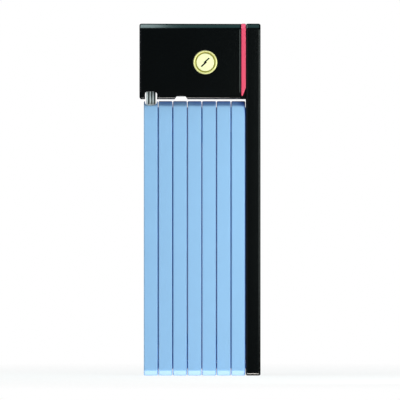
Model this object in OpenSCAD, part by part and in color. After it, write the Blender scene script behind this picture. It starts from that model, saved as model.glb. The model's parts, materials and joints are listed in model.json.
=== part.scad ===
// Folding bike lock: seven riveted bars, a fixed end bar and a keyed lock body.
// +X runs from the tongue to the end bar, +Y to the rear, +Z up. The origin is the
// middle of the bottom of the folded lock.

/* [Links] */
// Distance between the two pivots of a link
pivot_pitch = 120; // [80:1:200]
// Distance from a pivot to the near end of its link
link_end = 13; // [11:0.5:18]
// Front-to-back depth of a covered link
link_d = 25; // [23:0.5:32]
// Thickness of a covered link
link_t = 7.4; // [6.8:0.1:10]
// Gap between neighbouring links
link_gap = 0.35; // [0.2:0.05:1]
// Chamfer across the end of a covered link
link_chamfer = 2.6; // [1:0.1:3.5]
// Thickness of the steel bar inside a link
bar_t = 5; // [3:0.1:5.4]
// Front-to-back depth of the steel bar
bar_d = 20; // [17:0.5:21]
// Plastic beyond each end of the steel bar
bar_cover = 1.5; // [1:0.1:3]
// Depth of the shallow panels moulded into the wide faces
panel_depth = 0.3; // [0.1:0.05:0.5]
// Distance from a pivot to the start of a panel
panel_start = 11; // [10.5:0.5:16]
// Length of the raised pad between the two panels
pad_l = 45; // [20:1:60]

/* [Pivots] */
// Radius of a rivet shaft
rivet_r = 4; // [3:0.1:5]
// Radius of a rivet head
rivet_head_r = 6.5; // [5.5:0.1:8]
// Radius of the steel washer between two bars
washer_r = 9; // [7:0.1:10]

/* [Lock body] */
// Distance from the left side of the body to the last link
body_side = 2.35; // [2.2:0.05:6]
// Height of the lock body
body_h = 40; // [38:0.5:55]
// Front-to-back depth of the lock body
body_d = 34; // [32:0.5:46]
// Gap between the link tops and the lock body
body_gap = 1.2; // [0.8:0.1:3]
// Height of the upper chamfers
top_chamfer_h = 4.2; // [2:0.1:6]
// Depth of the upper chamfers
top_chamfer_d = 3.4; // [2:0.1:5]
// Height of the lower chamfers
low_chamfer_h = 5.6; // [3:0.1:7]
// Depth of the lower chamfers
low_chamfer_d = 2.2; // [1:0.1:3]
// Wall of the plastic covers
cover_wall = 1.8; // [1.2:0.1:2.4]
// Height of the recess in the underside, where the link ends turn
recess_h = 3; // [2.6:0.1:3.6]
// Depth of that recess to each side of the middle
recess_half = 11; // [9.5:0.5:12]
// Thickness of the accent plate
accent_t = 2.5; // [1.5:0.1:4]
// Thickness of the end bar with its cover
end_t = 7.8; // [7:0.1:10]
// Front-to-back depth of the end bar's cover below the lock body
end_d = 26; // [24:0.5:32]
// Height over which the end bar's cover widens to the lock body
end_flare = 8; // [4:0.5:14]
// Width of the guide groove in the underside
groove_w = 6.6; // [3:0.1:9]
// Height of the guide groove
groove_h = 1.5; // [0.8:0.1:2.4]
// Distance of the guide groove from the left side
groove_from_left = 22.1; // [16:0.1:28]

/* [Tongue and bolt] */
// Length of the tongue above its link
tongue_l = 16.5; // [15.5:0.5:19]
// Front-to-back width of the tongue
tongue_w = 18; // [14:0.5:19]
// Radius of the tongue's upper corners
tongue_r = 6; // [3:0.5:6.5]
// Clearance round the tongue in its slot
slot_clear = 0.6; // [0.4:0.05:0.9]
// Height of the arch at the front of the slot
arch_h = 3.8; // [3.2:0.1:5]
// Radius of the locking bolt
bolt_r = 3.5; // [2.5:0.1:3.6]
// Height of the bolt's axis above the underside
bolt_up = 8.1; // [7.6:0.1:8.6]
// Travel of the bolt
bolt_travel = 6; // [5.5:0.1:6.5]

/* [Key cylinder] */
// Distance of the cylinder from the left side
cylinder_from_left = 35; // [30:0.5:36]
// Height of the cylinder above the underside
cylinder_up = 19.4; // [19:0.1:24]
// Outer radius of the cylinder shell
shell_r = 6.35; // [6:0.05:7]
// Radius of the turning plug
plug_r = 4.75; // [4.4:0.05:5]
// Depth of the cylinder face behind the front of the body
face_recess = 0.3; // [0:0.1:1]
// Length of the cylinder shell
shell_l = 20.7; // [20:0.1:22]
// Number of detainer discs
disc_count = 8; // [4:1:8]
// Radius of the sidebar
sidebar_r = 0.7; // [0.5:0.05:0.8]
// Angle of the keyway from the horizontal
keyway_angle = 42; // [0:1:90]

/* [Fasteners] */
// Radius of a cover screw
screw_r = 1.25; // [1:0.05:1.5]
// Radius of the two pins that hold the end bar
pin_r = 3; // [2:0.1:3.5]

/* [Hidden] */
$fn = 64;

// Fits
press = 0.01;      // pressed pieces of one body
run = 0.05;        // radial play of a turning or sliding fit
play = 0.3;        // between pieces of different bodies that only pass each other
seat = 0.1;        // between housed pieces of one body
eps = 0.1;         // overrun of a cut

// Colours
blue = "#8cb8e4";
black = "#16181a";
accent = "#ee4d6e";
steel = "#b9bcc0";
brass = "#d8c277";

// Overall places
last = 7;
link_pitch = link_t + link_gap;
stack_w = last * link_pitch;
total_w = body_side + stack_w + end_t;
x_left = -total_w / 2;
x_end = x_left + body_side + stack_w;
x_body = x_end - accent_t;
link_l = pivot_pitch + 2 * link_end;
z_low = link_end;
z_high = link_end + pivot_pitch;
z_body = link_l + body_gap;
z_top = z_body + body_h;
body_half = body_d / 2;
z_recess = z_body + recess_h;

// Links: number 0 is the end bar, 1 lies beside it and the last one carries the tongue
function link_x(k) = k == 0 ? x_end + end_t / 2
    : x_end - link_gap - link_t / 2 - (k - 1) * link_pitch;
function pivot_z(k) = k % 2 == 1 ? z_low : z_high;
function cover_t(k) = k == 0 ? end_t : link_t;
link_wall = (link_t - bar_t) / 2;
edge = 0.5;
bar_chamfer = 1;
head_sink = 0.1;

// Tongue, slot and bolt
tongue_x = link_x(last);
slot_w = bar_t + 2 * slot_clear;
slot_front = -tongue_w / 2 - slot_clear;
z_tongue = link_l + tongue_l;
// height that the tongue's corner reaches as it swings about the upper pivots
tongue_sweep = norm([tongue_w / 2 - tongue_r, z_tongue - tongue_r - z_high]) + tongue_r;
z_slot = z_high + tongue_sweep + slot_clear;
notch_margin = 0.7;
notch_depth = 2.4;
arch_r = 2;
z_bolt = z_body + bolt_up;
bolt_tip = tongue_x + slot_w / 2 + seat;

// Key cylinder, from front to rear
cyl_x = x_left + cylinder_from_left;
cyl_z = z_body + cylinder_up;
y_face = -body_half + face_recess;
y_shell = y_face + shell_l;
y_plug = y_face + 0.2;
cap_l = 3;
disc_wall = 0.6;
disc_hole_r = plug_r - disc_wall;
disc_r = disc_hole_r - run;
disc_t = 1.5;
disc_pitch = 1.75;
y_discs = y_plug + cap_l;
discs_l = disc_count * disc_pitch;
sidebar_at = 4;
tail_r = 3.5;
clip_y = y_shell + 0.2;
clip_t = 0.8;
cam_r = 6.6;
cam_y = clip_y + clip_t + 0.3;
cam_t = 1.8;
// the crank pin turns a quarter turn about its lowest point and carries the bolt along
crank_r = bolt_travel / sqrt(2);
crank_pin_r = 1.5;
crank_slot = 0.22;
plate_y = cam_y + cam_t + 0.4;
plate_t = 3.2;
crank_pin_l = plate_t + 0.6;
// the bolt's plate at rest, with the crank pin at its right end
plate_x = cyl_x + bolt_travel / 2;
plate_w = 10;
plate_top = cyl_z + 0.6;
bolt_end = plate_x + plate_w / 2;
keyway_l = 6.2;
keyway_w = 1.25;

// Case
case_half = body_half - cover_wall - seat;
case_x0 = x_left + cover_wall + seat;
case_x1 = x_body - cover_wall - seat;
back_plate_y = plate_y + plate_t + 0.8;
set_screw_r = 1.5;
set_screw_y = y_face + 13;
set_screw_l = 10;

// Screws run from the rear cover to bosses of the front cover
screw_places = [
    [x_left + 5.2, z_top - 6.6], [x_left + 13.2, z_slot + 0.5],
    [x_body - 6.4, z_top - 6.6], [x_body - 6.4, z_body + 8.9]
];
screw_head_r = 2.4;
screw_head_h = 1.2;
boss_r = 2.8;
boss_l = 4;
screw_sink = 0.1;
pin_places = [z_body + 16.5, z_top - 13.5];
pin_depth = 6;

// ---- Outlines ----

// rectangle with equal chamfers
function chamfered(a0, a1, b0, b1, c) = [
    [a0 + c, b0], [a1 - c, b0], [a1, b0 + c], [a1, b1 - c],
    [a1 - c, b1], [a0 + c, b1], [a0, b1 - c], [a0, b0 + c]
];

// the two corners of a chamfer that is d deep and h high, moved in by w
function chamfer_side(half, d, h, w) = [half - w, h + w * (norm([d, h]) - h) / d];
function chamfer_end(half, d, h, w) = [half - d - w * (norm([d, h]) - d) / h, w];

// side outline of the lock body, moved in by w
function body_outline(w) = let (
    low_a = chamfer_end(body_half, low_chamfer_d, low_chamfer_h, w),
    low_b = chamfer_side(body_half, low_chamfer_d, low_chamfer_h, w),
    top_a = chamfer_side(body_half, top_chamfer_d, top_chamfer_h, w),
    top_b = chamfer_end(body_half, top_chamfer_d, top_chamfer_h, w)
) [
    [low_a[0], z_body + low_a[1]], [low_b[0], z_body + low_b[1]],
    [top_a[0], z_top - top_a[1]], [top_b[0], z_top - top_b[1]],
    [-top_b[0], z_top - top_b[1]], [-top_a[0], z_top - top_a[1]],
    [-low_b[0], z_body + low_b[1]], [-low_a[0], z_body + low_a[1]]
];

// ---- Helpers ----

// extrudes an outline of [y, z] points from x0 to x1
module along_x(points, x0, x1) {
    translate([x0, 0, 0]) rotate([90, 0, 90]) linear_extrude(x1 - x0) polygon(points);
}

// extrudes an outline of [x, z] points from y0 to y1
module along_y(points, y0, y1) {
    translate([0, y1, 0]) rotate([90, 0, 0]) linear_extrude(y1 - y0) polygon(points);
}

module rod_x(r, x0, x1, y, z) {
    translate([x0, y, z]) rotate([0, 90, 0]) cylinder(h = x1 - x0, r = r);
}

module rod_y(r, y0, y1, x, z) {
    translate([x, y1, z]) rotate([90, 0, 0]) cylinder(h = y1 - y0, r = r);
}

module block(x0, x1, y0, y1, z0, z1) {
    translate([x0, y0, z0]) cube([x1 - x0, y1 - y0, z1 - z0]);
}

// breaks the edges between the front and side faces and at the two ends
module broken_edges(x0, x1, half, z0, z1, c) {
    intersection() {
        children();
        along_y(chamfered(x0, x1, z0, z1, c), -half - eps, half + eps);
        translate([0, 0, z0 - eps])
            linear_extrude(z1 - z0 + 2 * eps) polygon(chamfered(x0, x1, -half, half, c));
    }
}

// ---- Links ----

// steel bar of link k without its holes, grown by g
module bar_blank(k, g = 0) {
    x = link_x(k);
    half = bar_d / 2 + g;
    z1 = k == 0 ? z_top - 2 * bar_cover : link_l - bar_cover;
    along_x(chamfered(-half, half, bar_cover - g, z1 + g, bar_chamfer), x - bar_t / 2, x + bar_t / 2);
    if (k == last) tongue_blank();
}

// end of the last bar that locks into the body
module tongue_blank() {
    x = tongue_x - bar_t / 2;
    zc = z_tongue - tongue_r;
    block(x, x + bar_t, -tongue_w / 2, tongue_w / 2, link_l - 10, zc);
    block(x, x + bar_t, -tongue_w / 2 + tongue_r, tongue_w / 2 - tongue_r, link_l - 10, z_tongue);
    for (s = [-1, 1])
        rod_x(tongue_r, x, x + bar_t, s * (tongue_w / 2 - tongue_r), zc);
}

// the bar turns on its own rivet k and holds rivet k + 1
module link_bar(k) {
    x = link_x(k);
    color(steel) difference() {
        bar_blank(k);
        if (k > 0) rod_x(rivet_r + run, x - bar_t, x + bar_t, 0, pivot_z(k));
        if (k < last) rod_x(rivet_r + press, x - bar_t, x + bar_t, 0, pivot_z(k + 1));
        if (k == last) rod_x(bolt_r + play, x - bar_t, x + bar_t, 0, z_bolt);
    }
}

// outer shape of a covered link
module sleeve_blank(k) {
    x0 = link_x(k) - link_t / 2;
    x1 = x0 + link_t;
    half = link_d / 2;
    broken_edges(x0, x1, half, 0, link_l, edge)
        along_x(chamfered(-half, half, 0, link_l, link_chamfer), x0, x1);
}

// shallow panels between the pivot bosses and the middle pad, on both wide faces
module panels(k) {
    x = link_x(k);
    mid = link_l / 2;
    rim = 2.5;
    half = link_d / 2 - rim;
    for (side = [-1, 1], end = [-1, 1]) {
        za = mid + end * pad_l / 2;
        zb = mid + end * (pivot_pitch / 2 - panel_start);
        face = x + side * link_t / 2;
        block(face - panel_depth, face + panel_depth, -half, half, min(za, zb), max(za, zb));
    }
}

// openings of a cover over pivot j: to the head on one side and the washer on the other
module pivot_openings(k, j) {
    x = link_x(k);
    child = j == k;
    head = child ? -1 : 1;
    far = cover_t(k);
    rod_x(rivet_head_r + seat, min(x, x + head * far), max(x, x + head * far), 0, pivot_z(j));
    rod_x(washer_r + (child ? play : seat), min(x, x - head * far), max(x, x - head * far), 0, pivot_z(j));
}

module link_sleeve(k) {
    color(blue) difference() {
        sleeve_blank(k);
        bar_blank(k);
        panels(k);
        pivot_openings(k, k);
        if (k < last) pivot_openings(k, k + 1);
        if (k == last) tongue_notch();
    }
}

// channel across the top of the last link, round the foot of the tongue
module tongue_notch() {
    half = bar_t / 2 + notch_margin;
    block(tongue_x - half, tongue_x + half, -link_d, link_d, link_l - notch_depth, link_l + eps);
}

// rivet k joins link k - 1 to link k
module pivot_rivet(k) {
    x1 = link_x(k - 1) + bar_t / 2;
    x0 = link_x(k) - bar_t / 2;
    head_0 = link_wall - head_sink;
    head_1 = (cover_t(k - 1) - bar_t) / 2 - head_sink;
    z = pivot_z(k);
    color(steel) {
        rod_x(rivet_r, x0 - head_0, x1 + head_1, 0, z);
        rod_x(rivet_head_r, x0 - head_0, x0, 0, z);
        rod_x(rivet_head_r, x1, x1 + head_1, 0, z);
    }
}

// steel washer between two bars, carried by the rivet
module pivot_washer(k) {
    x0 = link_x(k) + bar_t / 2;
    x1 = link_x(k - 1) - bar_t / 2;
    color(steel) difference() {
        rod_x(washer_r, x0, x1, 0, pivot_z(k));
        rod_x(rivet_r + press, x0 - eps, x1 + eps, 0, pivot_z(k));
    }
}

// ---- End bar ----

module end_bar() {
    x = link_x(0);
    color(steel) difference() {
        bar_blank(0);
        rod_x(rivet_r + press, x - bar_t, x + bar_t, 0, z_low);
        for (z = pin_places) rod_x(pin_r + press, x - bar_t, x + bar_t, 0, z);
    }
}

module end_bar_cover() {
    half = end_d / 2;
    foot = 1.6;
    upper = body_outline(0);
    outline = concat(
        [[-half, foot], [-half + foot, 0], [half - foot, 0], [half, foot], [half, z_body - end_flare]],
        [[body_half, z_body], upper[2], upper[3], upper[4], upper[5], [-body_half, z_body]],
        [[-half, z_body - end_flare]]
    );
    color(black) difference() {
        broken_edges(x_end, x_end + end_t, body_half, 0, z_top, edge) along_x(outline, x_end, x_end + end_t);
        bar_blank(0);
        pivot_openings(0, 1);
        for (z = pin_places) rod_x(pin_r + seat, x_end - eps, link_x(0), 0, z);
    }
}

// pins that fix the end bar to the case, through the accent plate
module end_bar_pins() {
    color(steel) for (z = pin_places)
        rod_x(pin_r, case_x1 - pin_depth, link_x(0) + bar_t / 2, 0, z);
}

module accent_plate() {
    color(accent) difference() {
        along_x(body_outline(0), x_body, x_end);
        recess(x_body - eps, x_end + eps);
        for (z = pin_places) rod_x(pin_r + seat, x_body - eps, x_end + eps, 0, z);
    }
}

// ---- Lock body ----

// space under the body in which the link ends turn
module recess(x0, x1) {
    block(x0, x1, -recess_half, recess_half, z_body - eps, z_recess);
}

// way of the tongue, open below and to the rear
module tongue_slot(g = 0) {
    half = slot_w / 2 + g;
    block(tongue_x - half, tongue_x + half, slot_front - g, body_half + eps, z_body - eps, z_slot + g);
}

// arch at the front of the slot
module arch() {
    half = slot_w / 2 + 0.5;
    z = z_body + arch_h;
    y0 = -body_half - eps;
    y1 = slot_front + eps;
    block(tongue_x - half, tongue_x + half, y0, y1, z_body - eps, z - arch_r);
    block(tongue_x - half + arch_r, tongue_x + half - arch_r, y0, y1, z_body - eps, z);
    for (s = [-1, 1]) rod_y(arch_r, y0, y1, tongue_x + s * (half - arch_r), z - arch_r);
}

module guide_groove() {
    x = x_left + groove_from_left;
    w = groove_w / 2;
    slope = 0.9;
    along_y(
        [[x - w, z_body - eps], [x + w, z_body - eps], [x + w - slope, z_body + groove_h],
            [x - w + slope, z_body + groove_h]],
        -body_half - eps, body_half + eps
    );
}

// both covers in one, before they are parted at the middle
module cover_shell() {
    difference() {
        broken_edges(x_left, x_body + edge, body_half, z_body, z_top, edge)
            along_x(body_outline(0), x_left, x_body);
        intersection() {
            along_x(body_outline(cover_wall), x_left + cover_wall, x_body - cover_wall);
            block(x_left, x_body, -body_half, body_half, z_recess, z_top);
        }
        recess(x_left + cover_wall, x_body + eps);
        tongue_slot(seat);
        guide_groove();
        for (z = pin_places) rod_x(pin_r + seat, x_body - cover_wall - eps, x_body + eps, 0, z);
    }
}

module front_cover() {
    color(black) difference() {
        union() {
            intersection() {
                cover_shell();
                block(x_left, x_body, -body_half, 0, z_body, z_top);
            }
            for (p = screw_places)
                rod_y(boss_r, -body_half + cover_wall - eps, -case_half + boss_l, p[0], p[1]);
        }
        rod_y(shell_r + play, -body_half - eps, 0, cyl_x, cyl_z);
        for (p = screw_places)
            rod_y(screw_r + press, -body_half + cover_wall, 0, p[0], p[1]);
        arch();
    }
}

module rear_cover() {
    color(black) difference() {
        intersection() {
            cover_shell();
            block(x_left, x_body, 0, body_half, z_body, z_top);
        }
        for (p = screw_places) {
            rod_y(screw_r + seat, 0, body_half + eps, p[0], p[1]);
            rod_y(screw_head_r + seat, body_half - screw_sink - screw_head_h, body_half + eps, p[0], p[1]);
        }
    }
}

// screws with a hexagon socket
module cover_screws() {
    socket_r = 1.25;
    y1 = body_half - screw_sink;
    color(steel) for (p = screw_places) difference() {
        union() {
            rod_y(screw_head_r, y1 - screw_head_h, y1, p[0], p[1]);
            rod_y(screw_r, -body_half + cover_wall + 0.4, y1, p[0], p[1]);
        }
        translate([p[0], y1 + eps, p[1]]) rotate([90, 0, 0]) cylinder(h = 1, r = socket_r, $fn = 6);
    }
}

// block that fills the covers, from y0 to y1
module case_blank(y0, y1) {
    intersection() {
        along_x(body_outline(cover_wall + seat), case_x0, case_x1);
        block(case_x0, case_x1, y0, y1, z_recess, z_top);
    }
}

module screw_ways() {
    for (p = screw_places) rod_y(screw_r + seat, -body_half, body_half, p[0], p[1]);
}

module lock_case() {
    color(steel) difference() {
        case_blank(-case_half, back_plate_y);
        tongue_slot();
        arch();
        screw_ways();
        for (p = screw_places) rod_y(boss_r + seat, -body_half, -case_half + boss_l + seat, p[0], p[1]);
        rod_y(shell_r + press, -body_half, y_shell, cyl_x, cyl_z);
        rod_y(cam_r + play, y_shell - eps, plate_y, cyl_x, cyl_z);
        rod_x(bolt_r + run, tongue_x, bolt_end + 1, 0, z_bolt);
        bolt_pocket();
        translate([cyl_x, set_screw_y, cyl_z]) cylinder(h = shell_r + set_screw_l, r = set_screw_r + press);
        for (z = pin_places) rod_x(pin_r + press, case_x1 - pin_depth, case_x1 + eps, 0, z);
    }
}

// space behind the cam for the bolt's plate and its arm, with the bolt's travel
module bolt_pocket() {
    x0 = plate_x - plate_w / 2 - bolt_travel - play;
    x1 = plate_x + plate_w / 2 + play;
    block(x0, x1, plate_y - play, back_plate_y + eps, z_bolt - bolt_r + 0.2, plate_top + play);
    block(x0, x1, 0, plate_y, z_bolt - bolt_r + 0.2, z_bolt + bolt_r - 0.2);
}

module case_back_plate() {
    color(steel) difference() {
        case_blank(back_plate_y, case_half);
        tongue_slot();
        screw_ways();
    }
}

// ---- Bolt and key cylinder ----

module locking_bolt() {
    x0 = plate_x - plate_w / 2;
    x1 = plate_x + plate_w / 2;
    arm_z0 = z_bolt - bolt_r + 0.5;
    slot_half = crank_pin_r + crank_slot;
    color(steel) difference() {
        union() {
            rod_x(bolt_r, bolt_tip, bolt_end, 0, z_bolt);
            block(x0, x1, 0, plate_y + plate_t, arm_z0, z_bolt + bolt_r - 0.5);
            block(x0, x1, plate_y, plate_y + plate_t, arm_z0, plate_top);
        }
        block(plate_x - slot_half, plate_x + slot_half, plate_y - eps, plate_y + plate_t + eps,
            cyl_z - crank_r - crank_pin_r - play, plate_top + eps);
    }
}

module cylinder_shell() {
    groove_r = plug_r + 0.75;
    color(brass) difference() {
        rod_y(shell_r, y_face, y_shell, cyl_x, cyl_z);
        rod_y(plug_r + run, y_face - eps, y_shell + eps, cyl_x, cyl_z);
        rod_y(groove_r, y_face - eps, y_face + 0.6, cyl_x, cyl_z);
        translate([cyl_x, set_screw_y, cyl_z]) cylinder(h = shell_r, r = set_screw_r + press);
    }
}

// screw from above that holds the cylinder in the case
module cylinder_set_screw() {
    color(steel) translate([cyl_x, set_screw_y, cyl_z + plug_r + 4 * run])
        cylinder(h = set_screw_l, r = set_screw_r);
}

// Z-shaped key profile of width w
module key_profile(w) {
    square([keyway_l, w], center = true);
    for (s = [-1, 1]) translate([s * (keyway_l - w) / 2, s * w * 0.7]) square([w, 2 * w], center = true);
}

// cuts the key profile from y0 to y1
module keyway(w, y0, y1) {
    translate([cyl_x, y1, cyl_z]) rotate([90, -keyway_angle, 0]) linear_extrude(y1 - y0) key_profile(w);
}

module cylinder_plug() {
    color(brass) difference() {
        union() {
            rod_y(plug_r, y_plug, y_shell, cyl_x, cyl_z);
            rod_y(tail_r, y_shell - eps, cam_y + cam_t, cyl_x, cyl_z);
        }
        rod_y(disc_hole_r, y_discs, y_discs + discs_l, cyl_x, cyl_z);
        keyway(keyway_w, y_plug - eps, y_discs + eps);
        sidebar_cut(seat);
    }
}

// groove of the sidebar along the top of the plug
module sidebar_cut(g) {
    rod_y(sidebar_r + g, y_discs + 0.4 - g, y_discs + discs_l - 0.4 + g, cyl_x, cyl_z + sidebar_at);
}

module detainer_discs() {
    color(steel) difference() {
        for (i = [0 : disc_count - 1])
            rod_y(disc_r, y_discs + i * disc_pitch + seat, y_discs + i * disc_pitch + seat + disc_t, cyl_x, cyl_z);
        keyway(keyway_w, y_discs, y_discs + discs_l);
        sidebar_cut(seat);
    }
}

module sidebar() {
    color(steel) sidebar_cut(0);
}

module plug_circlip() {
    outer = shell_r - 0.3;
    color(steel) difference() {
        rod_y(outer, clip_y, clip_y + clip_t, cyl_x, cyl_z);
        rod_y(tail_r + press, clip_y - eps, clip_y + clip_t + eps, cyl_x, cyl_z);
        block(cyl_x - 1.5, cyl_x + 1.5, clip_y - eps, clip_y + clip_t + eps, cyl_z, cyl_z + outer + eps);
    }
}

// disc with a crank pin that starts 45 degrees from the bottom, towards the end bar
module drive_cam() {
    px = cyl_x + crank_r * sin(45);
    pz = cyl_z - crank_r * cos(45);
    color(steel) difference() {
        union() {
            rod_y(cam_r, cam_y, cam_y + cam_t, cyl_x, cyl_z);
            rod_y(crank_pin_r, cam_y, plate_y + crank_pin_l, px, pz);
        }
        rod_y(tail_r + press, cam_y - eps, cam_y + cam_t + eps, cyl_x, cyl_z);
    }
}

// ---- Nodes ----

front_cover();
rear_cover();
cover_screws();
lock_case();
case_back_plate();
accent_plate();
end_bar();
end_bar_cover();
end_bar_pins();
cylinder_shell();
cylinder_set_screw();
cylinder_plug();
detainer_discs();
sidebar();
plug_circlip();
drive_cam();
locking_bolt();
link_bar(1);  // link_1_bar
link_bar(2);  // link_2_bar
link_bar(3);  // link_3_bar
link_bar(4);  // link_4_bar
link_bar(5);  // link_5_bar
link_bar(6);  // link_6_bar
link_bar(7);  // link_7_bar
link_sleeve(1);  // link_1_sleeve
link_sleeve(2);  // link_2_sleeve
link_sleeve(3);  // link_3_sleeve
link_sleeve(4);  // link_4_sleeve
link_sleeve(5);  // link_5_sleeve
link_sleeve(6);  // link_6_sleeve
link_sleeve(7);  // link_7_sleeve
pivot_rivet(1);  // pivot_rivet_1
pivot_rivet(2);  // pivot_rivet_2
pivot_rivet(3);  // pivot_rivet_3
pivot_rivet(4);  // pivot_rivet_4
pivot_rivet(5);  // pivot_rivet_5
pivot_rivet(6);  // pivot_rivet_6
pivot_rivet(7);  // pivot_rivet_7
pivot_washer(1);  // pivot_washer_1
pivot_washer(2);  // pivot_washer_2
pivot_washer(3);  // pivot_washer_3
pivot_washer(4);  // pivot_washer_4
pivot_washer(5);  // pivot_washer_5
pivot_washer(6);  // pivot_washer_6
pivot_washer(7);  // pivot_washer_7
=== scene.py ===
"""Folding bike lock: finish, moulded covers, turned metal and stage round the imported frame."""

import json
import math

import bmesh
import bpy
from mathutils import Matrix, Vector


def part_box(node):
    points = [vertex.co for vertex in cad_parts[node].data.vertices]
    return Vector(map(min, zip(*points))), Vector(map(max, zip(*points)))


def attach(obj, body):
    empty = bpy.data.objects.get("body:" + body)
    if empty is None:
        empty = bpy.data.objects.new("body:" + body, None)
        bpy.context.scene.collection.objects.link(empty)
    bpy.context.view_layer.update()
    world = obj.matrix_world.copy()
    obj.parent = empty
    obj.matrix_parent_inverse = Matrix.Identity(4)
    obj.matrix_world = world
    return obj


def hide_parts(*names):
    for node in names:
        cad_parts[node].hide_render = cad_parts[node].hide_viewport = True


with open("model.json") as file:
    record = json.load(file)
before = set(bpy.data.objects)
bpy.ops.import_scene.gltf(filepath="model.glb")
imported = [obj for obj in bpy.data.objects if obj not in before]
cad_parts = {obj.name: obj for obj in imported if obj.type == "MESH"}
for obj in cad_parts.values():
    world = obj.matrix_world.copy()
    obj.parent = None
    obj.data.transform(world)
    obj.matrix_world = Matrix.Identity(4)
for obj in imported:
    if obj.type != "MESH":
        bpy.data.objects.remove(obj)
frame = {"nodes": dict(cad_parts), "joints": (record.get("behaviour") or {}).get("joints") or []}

bl_info = {
    "name": "Folding Bike Lock",
    "version": (1, 0, 0),
    "blender": (4, 5, 0),
    "location": "View3D > Sidebar > Folding Lock",
    "description": "Builds the covers, bars, rivets, tongue and key cylinder of a folding bike lock",
    "category": "Object",
}

MM = 0.001
LINKS = range(1, 8)
LAST = 7
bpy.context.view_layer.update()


# ---- Places taken from the frame ----

def joint(name):
    """The joint of that name in the frame."""
    return next(j for j in frame["joints"] if j["name"] == name)


def pivot_z(k):
    """Height of pivot k, which joins link k - 1 to link k."""
    return joint(f"pivot_{k}")["pos_m"][2]


BODY_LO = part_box("front_cover")[0]
BODY_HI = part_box("rear_cover")[1]
ACCENT_LO, ACCENT_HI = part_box("accent_plate")
END_LO, END_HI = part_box("end_bar_cover")
SHELL_LO, SHELL_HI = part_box("cylinder_shell")
PLUG_LO, PLUG_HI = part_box("cylinder_plug")
CYLINDER = (SHELL_LO + SHELL_HI) / 2
BODY_HALF = BODY_HI.y


# ---- Settings ----

class FoldLockLinks(bpy.types.PropertyGroup):
    """Shape and colour of the plastic covers of the links."""
    edge: bpy.props.FloatProperty(
        name="Edge radius", description="Rounding of a link's edges",
        default=0.62 * MM, unit="LENGTH")
    chamfer: bpy.props.FloatProperty(
        name="End chamfer", description="Flat across the front and rear of each end",
        default=2.6 * MM, unit="LENGTH")
    boss_h: bpy.props.FloatProperty(
        name="Boss height", description="Raised ring round the pivot on the right side",
        default=0.13 * MM, unit="LENGTH")
    strip_h: bpy.props.FloatProperty(
        name="Strip height", description="Raised rub strip along the right side of a link",
        default=0.3 * MM, unit="LENGTH")
    boss_r: bpy.props.FloatProperty(
        name="Boss radius", description="Radius of the raised ring",
        default=11.6 * MM, unit="LENGTH")
    colour: bpy.props.FloatVectorProperty(
        name="Colour", description="Plastic of the links",
        subtype="COLOR", size=3, default=(0.255, 0.425, 0.66))
    # painted shade: the links' colour in crevices, where an Ambient Occlusion node finds other surfaces close
    # by
    painted_shade_colour: bpy.props.FloatVectorProperty(
        name="Deep colour", description="Plastic of the links in corners that little light reaches",
        subtype="COLOR", size=3, default=(0.01, 0.07, 0.50))


class FoldLockBody(bpy.types.PropertyGroup):
    """Shape and colours of the lock body, the accent plate and the end bar."""
    edge: bpy.props.FloatProperty(
        name="Edge radius", description="Rounding of the outer edges",
        default=0.95 * MM, unit="LENGTH")
    seam: bpy.props.FloatProperty(
        name="Seam radius", description="Rounding along the parting lines and cut-outs",
        default=0.18 * MM, unit="LENGTH")
    wall: bpy.props.FloatProperty(
        name="Wall", description="Wall of the covers",
        default=1.8 * MM, unit="LENGTH")
    colour: bpy.props.FloatVectorProperty(
        name="Colour", description="Plastic of the covers and the end bar",
        subtype="COLOR", size=3, default=(0.0012, 0.0018, 0.002))
    accent: bpy.props.FloatVectorProperty(
        name="Accent colour", description="Plastic of the accent plate",
        subtype="COLOR", size=3, default=(0.72, 0.055, 0.12))


class FoldLockMetal(bpy.types.PropertyGroup):
    """Colours of the metal pieces."""
    brass: bpy.props.FloatVectorProperty(
        name="Brass", description="Key cylinder",
        subtype="COLOR", size=3, default=(0.93, 0.83, 0.36))
    steel: bpy.props.FloatVectorProperty(
        name="Steel", description="Tongue, rivets and washers",
        subtype="COLOR", size=3, default=(0.90, 0.93, 0.93))


class FoldLockStage(bpy.types.PropertyGroup):
    """Camera distance, height and view width."""
    distance: bpy.props.FloatProperty(
        name="Camera distance", description="From the camera to the front of the lock",
        default=6.0, unit="LENGTH")
    height: bpy.props.FloatProperty(
        name="Camera height", description="Height of the camera and of what it looks at",
        default=93.4 * MM, unit="LENGTH")
    view_w: bpy.props.FloatProperty(
        name="View width", description="Width of the view at the front of the lock",
        default=212.6 * MM, unit="LENGTH")


SETTINGS = {
    "foldlock_links": FoldLockLinks,
    "foldlock_body": FoldLockBody,
    "foldlock_metal": FoldLockMetal,
    "foldlock_stage": FoldLockStage,
}


# ---- Shapes ----

AXES = {
    "X": (Vector((1, 0, 0)), Vector((0, 1, 0)), Vector((0, 0, 1))),
    "Y": (Vector((0, 1, 0)), Vector((1, 0, 0)), Vector((0, 0, 1))),
    "Z": (Vector((0, 0, 1)), Vector((1, 0, 0)), Vector((0, 1, 0))),
}


def block(lo, hi):
    """Box between two corners."""
    bm = bmesh.new()
    bmesh.ops.create_cube(bm, size=1)
    bmesh.ops.scale(bm, vec=Vector(hi) - Vector(lo), verts=bm.verts)
    bmesh.ops.translate(bm, vec=(Vector(lo) + Vector(hi)) / 2, verts=bm.verts)
    return bm


def prism(points, a, b, axis="X"):
    """Outline of (u, v) points drawn out from a to b along an axis."""
    along, u_dir, v_dir = AXES[axis]
    bm = bmesh.new()
    verts = [bm.verts.new(along * a + u_dir * u + v_dir * v) for u, v in points]
    face = bm.faces.new(verts)
    made = bmesh.ops.extrude_face_region(bm, geom=[face])
    moved = [g for g in made["geom"] if isinstance(g, bmesh.types.BMVert)]
    bmesh.ops.translate(bm, vec=along * (b - a), verts=moved)
    bmesh.ops.holes_fill(bm, edges=bm.edges)
    bmesh.ops.recalc_face_normals(bm, faces=bm.faces)
    return bm


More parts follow.
